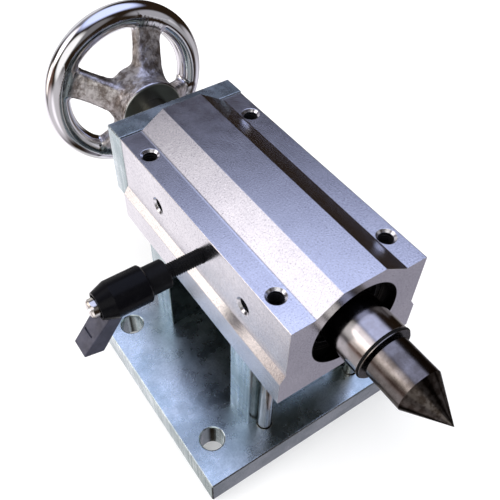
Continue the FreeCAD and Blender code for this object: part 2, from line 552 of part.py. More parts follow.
def centre_ring():
    """Split ring in the groove at the end of the centre's shank."""
    ring = tube_y(CLIP_GROOVE_R, CLIP_R, CLIP_Y, CLIP_Y + CLIP_THICK)
    gap = box(-CLIP_GAP_HALF, CLIP_GAP_HALF, CLIP_Y - PAST, CLIP_Y + CLIP_THICK + PAST,
              AXIS_Z - CLIP_R - PAST, AXIS_Z)
    return ring.cut(gap)


def radial_ring(r_in, r_out):
    front, rear = NECK_BACK, STEP_BACK - BREAK
    return tube_y(r_in, r_out, front, rear).cut(
        ball_track((front + rear) / 2, RADIAL_PITCH_R, RADIAL_BALL_R))


def centre_rear_bush():
    return tube_y(SHANK_R + RUNNING, CENTRE_BUSH_R, POCKET_FLOOR, CENTRE_BUSH_END)


# ---- clamp -------------------------------------------------------------------
def clamp_pad():
    """Bronze plug between the stud and the quill, hollowed to the quill's round."""
    pad = rod_x(PAD_R, PAD_OUTER, PAD_INNER + 2 * PAST)
    return pad.cut(rod_y(PAD_HOLLOW_R, CLAMP_Y - BORE_R, CLAMP_Y + BORE_R))


def clamp_stud():
    edge, shoulder = SCREW_POINT, LEVER_INNER + WASHER_PLAY
    stud = turned_x([(STUD_TIP, 0), (STUD_TIP, STUD_R - edge), (STUD_TIP - edge, STUD_R),
                     (INSERT_X, STUD_R), (INSERT_X, INSERT_R - edge), (INSERT_X - edge, INSERT_R),
                     (shoulder, INSERT_R), (shoulder, STUB_R), (STUB_END, STUB_R), (STUB_END, 0)])
    return stud.cut(rod_x(LEVER_SCREW_R, STUB_END - PAST, STUB_END + LEVER_SCREW_BITE + PAST))


def lever_screw():
    top, foot, radius = SCREW_HEAD_TOP, SCREW_HEAD_FOOT, LEVER_SCREW_HEAD_R
    shank = rod_x(LEVER_SCREW_R - RUNNING, foot, STUB_END + LEVER_SCREW_BITE)
    head = turned_x([(foot, 0), (foot, radius), (top + 3 * BREAK, radius),
                     (top + BREAK, radius - 2 * BREAK), (top, radius - 5 * BREAK), (top, 0)])
    slot = box(top - PAST, top + SCREW_SLOT_DEPTH, CLAMP_Y - SCREW_SLOT_HALF,
               CLAMP_Y + SCREW_SLOT_HALF, CLAMP_Z - radius - PAST, CLAMP_Z + radius + PAST)
    slot.rotate(V(0, CLAMP_Y, CLAMP_Z), X_AXIS, SCREW_SLOT_DEG)
    return joined([shank, head]).cut(slot)


def lever_spring():
    """Flat-wire coil between the lever's inner web and the screw head, at its shortest length."""
    room = WEB_OUTER - SCREW_HEAD_FOOT
    half = SPRING_WIRE_HALF
    height = room - LEVER_LIFT - 2 * (half + SPRING_PLAY)
    helix = Part.makeHelix(height / SPRING_TURNS, height, SPRING_R)
    corners = [V(SPRING_R + dx, 0, dz) for dx, dz in
               ((-half, -half), (half, -half), (half, half), (-half, half))]
    section = Part.makePolygon(corners + corners[:1])
    coil = Part.Wire(helix).makePipeShell([section], True, True)
    start = V(SCREW_HEAD_FOOT + half + SPRING_PLAY, CLAMP_Y, CLAMP_Z)
    coil.Placement = FreeCAD.Placement(start, FreeCAD.Rotation(Z_AXIS, X_AXIS))
    return coil


def lever_outer_shape():
    edge = SCREW_POINT
    return turned_x([(LEVER_INNER, 0), (LEVER_INNER, LEVER_HUB_R - edge),
                     (LEVER_INNER - edge, LEVER_HUB_R), (LEVER_TAPER_X, LEVER_HUB_R),
                     (LEVER_OUTER, LEVER_FACE_R), (LEVER_OUTER, 0)])


def lever_hub():
    cuts = [rod_x(STUB_R + RUNNING, WEB_INNER, LEVER_INNER + PAST),
            rod_x(LEVER_SCREW_R + WASHER_PLAY, WEB_OUTER - PAST, WEB_INNER + PAST),
            rod_x(LEVER_POCKET_R, LEVER_OUTER - PAST, WEB_OUTER)]
    return without(lever_outer_shape(), cuts)


def arm_section(corners, half_width):
    (x_out, z_out), (x_in, z_in) = corners
    low, high = CLAMP_Y - half_width, CLAMP_Y + half_width
    points = [V(x_out, low, z_out), V(x_out, high, z_out), V(x_in, high, z_in), V(x_in, low, z_in)]
    return Part.makePolygon(points + points[:1])


def arm_groove():
    """Short slot across the outer face, halfway down."""
    root, end = (V(x, CLAMP_Y, z) for x, z in (ARM_ROOT[0], ARM_END[0]))
    run = (end - root).normalize()
    slot = box(GROOVE_RUN[0], GROOVE_RUN[1], GROOVE_Y - GROOVE_HALF_LENGTH,
               GROOVE_Y + GROOVE_HALF_LENGTH, -PAST, GROOVE_DEPTH)
    turn = FreeCAD.Rotation(run, Y_AXIS, run.cross(Y_AXIS), "XYZ")
    slot.Placement = FreeCAD.Placement(root, turn)
    return slot


def lever_arm():
    """Tapered bar that leaves the hub downwards and outwards."""
    root = [tuple(near + ARM_REACH * (near - far) for near, far in zip(corner, end))
            for corner, end in zip(ARM_ROOT, ARM_END)]
    ends = [arm_section(root, ARM_ROOT_HALF_WIDTH), arm_section(ARM_END, ARM_END_HALF_WIDTH)]
    bar = Part.makeLoft(ends, True, True)
    bar = bar.makeFillet(ARM_ROUND, bar.Edges)
    return without(bar, [lever_outer_shape(), arm_groove()])


# ---- output ------------------------------------------------------------------
def base_body():
    return {
        "base_plate": base_plate(),
        "front_support_block": support_block(-BLOCK_Y),
        "rear_support_block": support_block(BLOCK_Y),
        "body_bolts": body_bolts(),
        "block_screws": block_screws(),
        "housing": housing(),
        "front_bush": bush(FRONT_BUSH_Y),
        "rear_bush": bush(REAR_BUSH_Y),
        "front_seal": front_seal(),
        "front_retaining_ring": retaining_ring(FRONT_RING_Y),
        "rear_retaining_ring": retaining_ring(REAR_RING_Y),
        "bush_set_screws": bush_set_screws(),
        "guide_screw": guide_screw(),
        "end_plate": end_plate(),
        "end_plate_screws": end_plate_screws(),
        "screw_bush": screw_bush(),
        "rear_thrust_washer": rear_thrust_washer(),
    }


def feed_parts():
    shaft_washer, housing_washer = thrust_washers(END_FRONT, THRUST_H, SCREW_R, THRUST_R,
                                                  THRUST_PITCH_R)
    middle = END_FRONT + THRUST_H / 2
    cage_in, cage_out = SCREW_R + PAST, THRUST_R - 2 * BREAK
    return {
        "thrust_housing_washer": housing_washer,
        "thrust_shaft_washer": shaft_washer,
        "thrust_cage": thrust_ball_cage(middle, cage_in, cage_out, THRUST_PITCH_R, SCREW_THRUST_BALLS),
        "thrust_balls": balls(middle, THRUST_PITCH_R, THRUST_BALL_R, SCREW_THRUST_BALLS),
        "feed_screw": feed_screw(),
        "spacer_collar": spacer_collar(),
        "collar_set_screw": collar_set_screw(),
        "wheel_key": wheel_key(),
        "handwheel": handwheel(),
        "wheel_washer": wheel_washer(),
        "wheel_nut": wheel_nut(),
        "quill": quill(),
        "feed_nut": feed_nut(),
        "nut_pin": nut_pin(),
    }


def centre_parts():
    shaft_washer, housing_washer = thrust_washers(STEP_BACK, POCKET_FLOOR - STEP_BACK, SHANK_R,
                                                  POCKET_R, CENTRE_THRUST_PITCH_R)
    radial_y = (NECK_BACK + STEP_BACK - BREAK) / 2
    thrust_y = (STEP_BACK + POCKET_FLOOR) / 2
    return {
        "nose_seal": nose_seal(),
        "nose_shield": nose_shield(),
        "centre": centre(),
        "centre_inner_ring": radial_ring(STEP_R, RADIAL_INNER_R),
        "centre_outer_ring": radial_ring(RADIAL_OUTER_R, POCKET_R),
        "centre_radial_cage": crown_cage(radial_y),
        "centre_radial_balls": balls(radial_y, RADIAL_PITCH_R, RADIAL_BALL_R, RADIAL_BALLS),
        "centre_thrust_shaft_washer": shaft_washer,
        "centre_thrust_housing_washer": housing_washer,
        "centre_thrust_cage": thrust_ball_cage(thrust_y, SHANK_R + PAST, POCKET_R - 2 * BREAK,
                                               CENTRE_THRUST_PITCH_R, CENTRE_THRUST_BALLS),
        "centre_thrust_balls": balls(thrust_y, CENTRE_THRUST_PITCH_R, THRUST_BALL_R,
                                     CENTRE_THRUST_BALLS),
        "centre_rear_bush": centre_rear_bush(),
        "centre_retaining_ring": centre_ring(),
    }


def clamp_parts():
    return {
        "clamp_pad": clamp_pad(),
        "clamp_stud": clamp_stud(),
        "lever_screw": lever_screw(),
        "lever_spring": lever_spring(),
        "lever_hub": lever_hub(),
        "lever_arm": lever_arm(),
    }


def main():
    os.makedirs("parts", exist_ok=True)
    for group in (base_body(), feed_parts(), centre_parts(), clamp_parts()):
        for node, shape in group.items():
            shape.exportStep("parts/%s.step" % node)
            print(node, len(shape.Solids), round(shape.Volume), shape.isValid())


main()
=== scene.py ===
"""Looks of a small tailstock with a live centre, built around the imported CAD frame.

Blender works in metres.  The sizes named here are millimetres, in the CAD model's
own frame: X across, the quill axis parallel to Y with the point towards -Y, Z up.
"""
import json
import math

import bmesh
import bpy
import numpy as np
from mathutils import Matrix, Vector


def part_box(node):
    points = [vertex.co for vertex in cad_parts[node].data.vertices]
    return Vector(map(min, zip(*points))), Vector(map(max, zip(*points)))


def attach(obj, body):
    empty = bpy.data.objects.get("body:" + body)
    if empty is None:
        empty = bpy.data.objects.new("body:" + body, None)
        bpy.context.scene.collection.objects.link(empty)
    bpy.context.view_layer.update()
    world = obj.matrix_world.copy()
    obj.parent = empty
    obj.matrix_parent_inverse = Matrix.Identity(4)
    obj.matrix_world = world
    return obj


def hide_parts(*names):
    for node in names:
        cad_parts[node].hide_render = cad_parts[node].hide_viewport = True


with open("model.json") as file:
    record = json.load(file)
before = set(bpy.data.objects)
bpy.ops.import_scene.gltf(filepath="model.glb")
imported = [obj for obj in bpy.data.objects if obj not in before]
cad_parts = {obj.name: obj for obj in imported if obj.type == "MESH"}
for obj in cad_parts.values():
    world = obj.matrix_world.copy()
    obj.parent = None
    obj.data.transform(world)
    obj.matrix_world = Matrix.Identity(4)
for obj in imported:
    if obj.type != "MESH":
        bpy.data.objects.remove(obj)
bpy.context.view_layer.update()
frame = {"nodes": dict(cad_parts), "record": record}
nodes, record = frame["nodes"], frame["record"]

MM = 0.001
TURN = 2 * math.pi


def middle(node):
    low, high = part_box(node)
    return (low + high) / 2 / MM


# ---- where things are, from the CAD frame ------------------------------------
AXIS_Z = middle("quill").z                       # height of the quill axis
CLAMP_Y, CLAMP_Z = middle("clamp_stud").y, middle("clamp_stud").z
HUB_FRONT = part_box("handwheel")[0].y / MM
CONE_START = -115.2                              # where the centre's cone begins along Y
BORE_OPEN_R = 24.45                              # the housing's colour is painted near black inside this radius, as shade in the bore

# ---- handwheel, matching the CAD node it replaces ----------------------------
HUB_R, HUB_REAR, HUB_ROUND = 19.8, 136.0, 1.6
RIM_CENTRE_R, RIM_R, RIM_Y = 45.2, 7.35, 144.9
SPOKES, FIRST_SPOKE = 4, math.radians(64.5)
SPOKE_R = (8.0, 19.0, 31.0, 45.2)                # distances where the spoke is measured
SPOKE_Y = (121.0, 127.5, 137.0, 144.9)
SPOKE_HALF_W = (10.5, 9.0, 8.3, 10.0)
SPOKE_HALF_T = (8.0, 6.2, 5.0, 5.2)
SPOKE_ROUND, SPOKE_LEAN = 2.6, 0.86              # edge radius, and the cosine of the spokes' slope
HUB_BLEND, RIM_BLEND = 4.0, 3.0                  # fillets where the spokes meet hub and rim
HUB_DRAFT = 0.03                                 # how much the hub narrows, per millimetre
FACE_CUT, FACE_CLEAR, FACE_FADE = 0.02, 1.0, 3.0  # keep the hub's turned front face free of waves
SHAFT_R, KEY_HALF_W, KEY_TOP, NUT_ROOM_R = 6.15, 2.3, 8.1, 14.0
CAST_WAVE = 0.14
VOXEL, LEAST_SLOPE, PROJECTIONS = 0.75, 0.3, 3   # how finely the wheel is meshed and fitted

# ---- inside threads ----------------------------------------------------------
RIDGE_SINK, RIDGE_LEAST = 0.06, 0.05             # how far a ridge's foot is in the wall, least height
RIDGE_FOOT, RIDGE_CREST = 0.46, 0.06             # its half widths, as shares of the pitch
TAP_PITCH, TAP_DEPTH, TAP_CLEAR = 1.25, 0.5, 0.8  # M8, and how far the thread stays off a hole's ends
BOLT_GAP = 1.4                                   # from the body bolts' ends to the flange threads
SIDE_X, SIDE_MOUTH, SIDE_HOLES_Y = -38.0, 2.0, (-40.0, 37.5)


# ---- meshes ------------------------------------------------------------------
def add_mesh(name, points, faces):
    """A new object from points in millimetres."""
    mesh = bpy.data.meshes.new(name)
    mesh.from_pydata((np.asarray(points, float) * MM).tolist(), [], faces)
    work = bmesh.new()
    work.from_mesh(mesh)
    bmesh.ops.recalc_face_normals(work, faces=work.faces)
    work.to_mesh(mesh)
    work.free()
    mesh.polygons.foreach_set("use_smooth", [True] * len(mesh.polygons))
    piece = bpy.data.objects.new(name, mesh)
    bpy.context.scene.collection.objects.link(piece)
    return piece


def lathe(name, rows, place, segments, pitch, trim=None):
    """A closed turned mesh.  rows: (along, radius, thread depth); place: maps along, r, angle."""
    points, rings, faces = [], [], []
    for along, radius, depth in rows:
        if radius <= 0:
            rings.append([len(points)])
            points.append(place(along, 0, 0))
            continue
        ring = []
        for k in range(segments):
            angle = TURN * k / segments
            phase = (along / pitch - k / segments) % 1
            r = radius - depth * abs(2 * phase - 1)
            if trim:
                r = trim(along, r, angle)
            ring.append(len(points))
            points.append(place(along, r, angle))
        rings.append(ring)
    for a, b in zip(rings, rings[1:]):
        for k in range(segments):
            n = (k + 1) % segments
            if len(a) == 1:
                faces.append((a[0], b[k], b[n]))
            elif len(b) == 1:
                faces.append((a[k], b[0], a[n]))
            else:
                faces.append((a[k], b[k], b[n], a[n]))
    return add_mesh(name, points, faces)


def thread_rows(start, end, crest_r, depth, pitch):
    """Rows of a threaded length, with the thread running out over one pitch at each end."""
    per_pitch = 10
    count = int(round(abs(end - start) / pitch * per_pitch))
    rows = []
    for k in range(count + 1):
        turns_from_end = min(k, count - k) / per_pitch
        rows.append((start + (end - start) * k / count, crest_r, depth * min(1, turns_from_end)))
    return rows


def about_x(along, r, angle):
    return (along, CLAMP_Y + r * math.cos(angle), CLAMP_Z + r * math.sin(angle))


def about_y(along, r, angle):
    return (r * math.cos(angle), along, AXIS_Z + r * math.sin(angle))


def helical_ridge(points, faces, origin, axis, length, wall_r):
    """Adds one closed ridge of an M8 inside thread, from origin along axis."""
    steps_per_turn = 36
    side = Vector((0, 0, 1)) if abs(axis.z) < 0.5 else Vector((1, 0, 0))
    other = axis.cross(side)
    count = int(length / TAP_PITCH * steps_per_turn)
    first = len(points)
    for k in range(count + 1):
        angle = TURN * k / steps_per_turn
        out = side * math.cos(angle) + other * math.sin(angle)
        shrink = min(1, k / steps_per_turn, (count - k) / steps_per_turn)
        spot = origin + axis * (length * k / count)
        foot_r, crest_r = wall_r + RIDGE_SINK, wall_r - max(TAP_DEPTH * shrink, RIDGE_LEAST)
        for r, shift in ((foot_r, -RIDGE_FOOT), (crest_r, -RIDGE_CREST),
                         (crest_r, RIDGE_CREST), (foot_r, RIDGE_FOOT)):
            points.append(tuple(spot + out * r + axis * (shift * TAP_PITCH)))
    for k in range(count):
        a = first + 4 * k
        for i in range(4):
            j = (i + 1) % 4
            faces.append((a + i, a + j, a + 4 + j, a + 4 + i))
    last = first + 4 * count
    faces.append((first, first + 1, first + 2, first + 3))
    faces.append((last + 3, last + 2, last + 1, last))


def smooth_min(a, b, blend):
    """The smaller of two distances, with a fillet of about that size where they meet."""
    h = np.clip(0.5 + 0.5 * (b - a) / blend, 0, 1)
    return b + (a - b) * h - blend * h * (1 - h)


def wheel_field(p):
    """Signed distance, roughly, to the cast handwheel."""
    x, y, z = p[:, 0], p[:, 1], p[:, 2] - AXIS_Z
    radius = np.hypot(x, z)
    rim = np.hypot(radius - RIM_CENTRE_R, y - RIM_Y) - RIM_R
    near = np.clip(radius, SPOKE_R[0], SPOKE_R[-1])
    centre_y = np.polyval(np.polyfit(SPOKE_R, SPOKE_Y, 3), near)
    half_w = np.polyval(np.polyfit(SPOKE_R, SPOKE_HALF_W, 3), near)
    half_t = np.polyval(np.polyfit(SPOKE_R, SPOKE_HALF_T, 3), near)
    wave = CAST_WAVE * (np.sin(0.55 * x + 0.8 * y) * np.sin(0.6 * z - 0.35 * y + 1.3)
                        + 0.6 * np.sin(1.7 * x - 0.9 * z) * np.sin(1.4 * y + 0.7 * x))
    step = TURN / SPOKES
    angle = np.arctan2(z, x) - FIRST_SPOKE
    angle = angle - step * np.round(angle / step)
    along, across = radius * np.cos(angle), radius * np.sin(angle)
    qw = np.abs(across) - half_w + SPOKE_ROUND
    qt = np.abs(y - centre_y) * SPOKE_LEAN - half_t * SPOKE_LEAN + SPOKE_ROUND
    spoke = np.hypot(np.maximum(qw, 0), np.maximum(qt, 0)) + np.minimum(np.maximum(qw, qt), 0)
    spoke = np.maximum(spoke - SPOKE_ROUND, along - SPOKE_R[-1]) + wave
    draft_r = HUB_R - HUB_DRAFT * (y - HUB_FRONT)
    qr = radius - draft_r + HUB_ROUND
    qy = np.abs(y - (HUB_FRONT + HUB_REAR) / 2) - (HUB_REAR - HUB_FRONT) / 2 + HUB_ROUND
    hub = np.hypot(np.maximum(qr, 0), np.maximum(qy, 0)) + np.minimum(np.maximum(qr, qy), 0)
    hub = hub - HUB_ROUND
    away_from_face = np.clip((y - HUB_FRONT - FACE_CLEAR) / FACE_FADE, 0, 1)
    body = smooth_min(hub + wave * away_from_face, spoke, HUB_BLEND)
    body = smooth_min(body, rim, RIM_BLEND)
    body = np.maximum(body, HUB_FRONT + FACE_CUT - y)
    bore = radius - SHAFT_R
    key = np.maximum(np.abs(x) - KEY_HALF_W, np.maximum(z - KEY_TOP, -z))
    nut_room = np.maximum(radius - NUT_ROOM_R, HUB_REAR - y)
    return np.maximum(body, -np.minimum(np.minimum(bore, key), nut_room))


def gradient(field, p):
    """The slope of the field at each point."""
    tiny = 0.02
    parts = []
    for a in range(3):
        move = np.zeros(3)
        move[a] = tiny
        parts.append((field(p + move) - field(p - move)) / (2 * tiny))
    return np.stack(parts, 1)


def surface_net(name, field, low, high, step):
    """A closed quad mesh of the surface where field is zero, inside the box low to high."""
    axes = [np.arange(a, b + step, step) for a, b in zip(low, high)]
    grid = np.stack(np.meshgrid(*axes, indexing="ij"), -1)
    value = field(grid.reshape(-1, 3)).reshape(grid.shape[:3])
    cells = tuple(n - 1 for n in value.shape)
    total, crossings = np.zeros(cells + (3,)), np.zeros(cells)

    def corner(offset):
        return value[tuple(slice(o, o + n) for o, n in zip(offset, cells))]

    for a in range(3):
        b, c = [i for i in range(3) if i != a]
        for ob in (0, 1):
            for oc in (0, 1):
                start = [0, 0, 0]
                start[b], start[c] = ob, oc
                end = list(start)
                end[a] = 1
                v0, v1 = corner(start), corner(end)
                cut = (v0 < 0) != (v1 < 0)
                t = np.where(cut, v0 / np.where(cut, v0 - v1, 1), 0)
                crossings += cut
                for i in range(3):
                    total[..., i] += cut * (t if i == a else start[i])
    active = crossings > 0
    number = np.full(cells, -1)
    number[active] = np.arange(active.sum())
    where = np.argwhere(active)
    points = np.array(low) + step * (where + total[active] / crossings[active][:, None])
    faces = []
    for a in range(3):
        b, c = (a + 1) % 3, (a + 2) % 3
        first = [slice(1, n) for n in cells]
        first[a] = slice(0, cells[a])
        ahead = list(first)
        ahead[a] = slice(1, cells[a] + 1)
        v0, v1 = value[tuple(first)], value[tuple(ahead)]
        spots = np.argwhere((v0 < 0) != (v1 < 0))
        here = spots + np.array([s.start for s in first])
        inward = (v0 < 0)[tuple(spots.T)]
        quad = []
        for db, dc in ((0, 0), (1, 0), (1, 1), (0, 1)):
            cell = here.copy()
            cell[:, b] -= db
            cell[:, c] -= dc
            quad.append(number[tuple(cell.T)])
        quad = np.stack(quad, 1)
        quad[~inward] = quad[~inward][:, ::-1]
        faces.append(quad)
    for _ in range(PROJECTIONS):
        slope = gradient(field, points)
        steepness = np.maximum((slope ** 2).sum(1), LEAST_SLOPE)[:, None]
        move = field(points)[:, None] * slope / steepness
        points = points - np.clip(move, -step / 2, step / 2)
    piece = add_mesh(name, points, np.concatenate(faces).tolist())
    slope = gradient(field, points)
    slope /= np.maximum(np.linalg.norm(slope, axis=1), 1e-6)[:, None]
    piece.data.normals_split_custom_set_from_vertices(slope.tolist())
    return piece


# ---- node materials ----------------------------------------------------------
class Finish:
    """Builds one procedural material, in object coordinates."""

    def __init__(self, name, metallic=1.0):
        self.material = bpy.data.materials.new(name)
        self.material.use_nodes = True
        self.tree = self.material.node_tree
        self.tree.nodes.clear()
        output = self.node("ShaderNodeOutputMaterial")
        self.shader = self.node("ShaderNodeBsdfPrincipled")
        self.tree.links.new(self.shader.outputs[0], output.inputs[0])
        self.shader.inputs["Metallic"].default_value = metallic
        self.position = self.node("ShaderNodeTexCoord").outputs["Object"]
        self.normal = None

    def node(self, kind, inputs=(), **settings):
        made = self.tree.nodes.new(kind)
        for key, value in settings.items():
            setattr(made, key, value)
        for key, value in dict(inputs).items():
            self.feed(made.inputs[key], value)
        return made

    def feed(self, socket, value):
        if isinstance(value, bpy.types.NodeSocket):
            self.tree.links.new(value, socket)
        elif isinstance(value, tuple) and socket.type == "RGBA" and len(value) == 3:
            socket.default_value = value + (1.0,)
        else:
            socket.default_value = value

    def math(self, operation, a, b=0.0):
        return self.node("ShaderNodeMath", {0: a, 1: b}, operation=operation).outputs[0]

    def hypotenuse(self, a, b):
        squares = self.math("MULTIPLY", a, a), self.math("MULTIPLY", b, b)
        return self.math("SQRT", self.math("ADD", *squares))

    def around_axis(self):
        """The place along Y, and the distance from the quill axis."""
        parts = self.node("ShaderNodeSeparateXYZ", {0: self.position})
        up = self.math("SUBTRACT", parts.outputs[2], AXIS_Z * MM)
        return parts.outputs[1], self.hypotenuse(parts.outputs[0], up)

    def facing(self):
        """The three parts of the surface's normal."""
        plain = self.node("ShaderNodeNewGeometry").outputs["Normal"]
        return self.node("ShaderNodeSeparateXYZ", {0: plain}).outputs

    def stretched(self, *scale):
        """The position, scaled differently along each axis."""
        return self.node("ShaderNodeMapping", {"Vector": self.position, "Scale": scale}).outputs[0]

    def noise(self, scale, detail=3.0, rough=0.5, vector=None):
        return self.node("ShaderNodeTexNoise", {
            "Vector": vector or self.position, "Scale": scale, "Detail": detail,
            "Roughness": rough}).outputs["Fac"]

    def streaks(self, scale, detail, rough):
        """Noise drawn out along the axes with a small scale."""
        return self.noise(1.0, detail, rough, self.stretched(*scale))

    def spots(self, scale):
        """Distance to scattered points."""
        made = self.node("ShaderNodeTexVoronoi", {"Vector": self.position, "Scale": scale})
        return made.outputs["Distance"]

    def span(self, value, from_low, from_high, to_low=0.0, to_high=1.0):
        """Takes one range of values to another, with soft ends."""
        return self.node("ShaderNodeMapRange", {
            "Value": value, "From Min": from_low, "From Max": from_high, "To Min": to_low,
            "To Max": to_high}, interpolation_type="SMOOTHSTEP").outputs[0]

    def mix(self, fac, a, b):
        """The colour a where fac is 0, and b where it is 1."""
        made = self.node("ShaderNodeMix", data_type="RGBA")
        self.feed(made.inputs[0], fac)
        self.feed(made.inputs[6], a)
        self.feed(made.inputs[7], b)
        return made.outputs[2]

    def bump(self, height, distance):
        """Adds a bump, that distance high in metres, on top of the ones before."""
        inputs = {"Height": height, "Distance": distance, "Strength": 1.0}
        if self.normal is not None:
            inputs["Normal"] = self.normal
        self.normal = self.node("ShaderNodeBump", inputs).outputs[0]

    def rounded_edges(self, radius):
        """Softens the edges' shading, and returns a mask that is 1 on the edges."""
        bevel = self.node("ShaderNodeBevel", {"Radius": radius}, samples=6).outputs[0]
        plain = self.node("ShaderNodeNewGeometry").outputs["Normal"]
        same = self.node("ShaderNodeVectorMath", {0: bevel, 1: plain}, operation="DOT_PRODUCT")
        self.normal = bevel
        return self.span(same.outputs["Value"], 0.995, 0.86)

    def done(self, colour, rough):
        """Wires up the shader, and returns the material."""
        self.feed(self.shader.inputs["Base Color"], colour)
        self.feed(self.shader.inputs["Roughness"], rough)
        if self.normal is not None:
            self.feed(self.shader.inputs["Normal"], self.normal)
        return self.material


def metal(name, light, dark, edge, rough, mottle=60.0, lines=None, pits=None, bevel=0.0003,
          metallic=1.0, grazing=1.0, darker_tip=None):
    """A metal with cloudy colour, grain and worn edges.

    lines: scale, depth and shade of machining lines; pits: scale and depth; grazing: how
    bright its edge-on reflections are; burnt: a darker tint ahead of a place along Y.
    """
    f = Finish(name, metallic)
    f.shader.inputs["Specular Tint"].default_value = (grazing, grazing, grazing, 1.0)
    worn = f.rounded_edges(bevel)
    cloud = f.span(f.noise(mottle, 5.0, 0.62), 0.34, 0.66)
    colour = f.mix(cloud, dark, light)
    roughness = f.span(f.noise(mottle * 3.1, 4.0, 0.6), 0.3, 0.7, rough * 0.78, rough * 1.25)
    if lines:
        scale, depth, shade = lines
        streak = f.streaks(scale, 4.0, 0.7)
        colour = f.mix(f.span(streak, 0.56, 0.72, 0.0, shade), colour, dark)
        f.bump(streak, depth)
    if pits:
        scale, depth = pits
        hole = f.span(f.spots(scale), 0.0, 0.16)
        rare = f.span(f.noise(scale * 0.21, 2.0), 0.56, 0.6)
        hole = f.math("MAXIMUM", hole, f.math("SUBTRACT", 1.0, rare))
        colour = f.mix(hole, (0.02, 0.018, 0.016), colour)
        f.bump(hole, depth)
    f.bump(f.noise(2600.0, 2.0, 0.5), 4e-6)
    worn = f.math("MULTIPLY", worn, f.span(f.noise(420.0, 3.0), 0.3, 0.62))
    colour = f.mix(worn, colour, edge)
    # The part ahead of the given place along Y, the centre's cone, is coloured darker in patches.
    if darker_tip:
        start, tint = darker_tip
        along = f.node("ShaderNodeSeparateXYZ", {0: f.position}).outputs[1]
        patch = f.span(f.noise(340.0, 4.0, 0.6), 0.42, 0.6, 0.75, 1.0)
        ahead = f.span(along, (start + 0.15) * MM, (start - 0.15) * MM)
        colour = f.mix(f.math("MULTIPLY", ahead, patch), colour, tint)
    return f.done(colour, roughness)


def zinc_finish():
    """Zinc plate: cloudy bluish patches, upright cutter marks on the blocks' and plates' sides, and
    painted shade on the faces that face along Y, most on those facing +Y.
    """
    f = Finish("zinc_plated_steel")
    worn = f.rounded_edges(0.0005)
    cloud = f.span(f.noise(46.0, 6.0, 0.62), 0.36, 0.64)
    small = f.span(f.noise(900.0, 3.0, 0.6), 0.36, 0.66)
    colour = f.mix(cloud, (0.50, 0.60, 0.62), (0.80, 0.90, 0.92))
    colour = f.mix(f.math("MULTIPLY", small, 0.35), colour, (0.38, 0.48, 0.50))
    facing = f.facing()
    side_x = f.span(f.math("ABSOLUTE", facing[0]), 0.6, 0.8)
    side_y = f.span(f.math("ABSOLUTE", facing[1]), 0.6, 0.8)
    cuts = f.math("MULTIPLY", f.span(f.streaks((380.0, 380.0, 11.0), 2.0, 0.6), 0.36, 0.64), side_x)
    f.bump(cuts, 0.00012)
    colour = f.mix(f.math("MULTIPLY", cuts, 0.50), colour, (0.28, 0.40, 0.42))
    f.bump(f.streaks((1900.0, 60.0, 1900.0), 2.0, 0.6), 0.000003)
    f.bump(f.noise(1200.0, 3.0, 0.6), 0.000010)
    # Painted shade: faces that face along Y are coloured darker.
    colour = f.mix(f.math("MULTIPLY", side_y, 0.35), colour, (0.13, 0.14, 0.12))
    # Painted shade: faces turned to +Y, such as the end plate's back, are coloured darker still.
    back = f.span(facing[1], 0.6, 0.8, 0.0, 0.45)
    colour = f.mix(back, colour, (0.10, 0.11, 0.10))
    rough = f.span(f.noise(60.0, 5.0, 0.65), 0.3, 0.7, 0.22, 0.34)
    rough = f.math("SUBTRACT", rough, f.math("MULTIPLY", side_y, 0.13))
    scuff = f.span(f.streaks((700.0, 35.0, 300.0), 3.0, 0.6), 0.60, 0.70, 0.0, 0.3)
    colour = f.mix(scuff, colour, (0.72, 0.80, 0.83))
    return f.done(f.mix(worn, colour, (0.84, 0.87, 0.88)), rough)


def housing_finish():
    """Blasted extruded aluminium: grain, draw lines along Y, small dents, and painted shade in the
    bore and on the underside.
    """
    f = Finish("housing_aluminium")
    worn = f.rounded_edges(0.0004)
    cloud = f.span(f.noise(28.0, 5.0, 0.6), 0.3, 0.7)
    colour = f.mix(cloud, (0.70, 0.70, 0.74), (0.80, 0.80, 0.83))
    grain = f.noise(1150.0, 3.0, 0.7)
    colour = f.mix(f.span(grain, 0.52, 0.70, 0.0, 0.65), colour, (0.38, 0.38, 0.43))
    colour = f.mix(f.span(grain, 0.46, 0.30, 0.0, 0.55), colour, (0.98, 0.98, 1.0))
    draw = f.streaks((900.0, 7.0, 900.0), 3.0, 0.65)
    colour = f.mix(f.span(draw, 0.58, 0.72, 0.0, 0.30), colour, (0.52, 0.52, 0.57))
    f.bump(draw, 0.000010)
    f.bump(grain, 0.000030)
    dents = f.span(f.spots(230.0), 0.02, 0.10)
    rare = f.span(f.noise(55.0, 2.0), 0.58, 0.64)
    dents = f.math("MAXIMUM", dents, f.math("SUBTRACT", 1.0, rare))
    colour = f.mix(dents, (0.30, 0.29, 0.30), colour)
    f.bump(dents, 0.00004)
    colour = f.mix(worn, colour, (0.92, 0.92, 0.94))
    _, radius = f.around_axis()
    # Painted shade: the colour is near black inside the bore's radius, standing in for the shade in
    # the bore.
    outside = f.span(radius, BORE_OPEN_R * MM, (BORE_OPEN_R + 0.25) * MM)
    colour = f.mix(outside, (0.030, 0.028, 0.027), colour)
    # Painted shade: faces turned downwards are coloured dark olive, as the shade under the housing.
    underside = f.span(f.facing()[2], -0.7, -0.9)
    colour = f.mix(underside, colour, (0.07, 0.067, 0.052))
    rough = f.span(f.noise(120.0, 4.0, 0.6), 0.3, 0.7, 0.20, 0.24)
    return f.done(colour, rough)


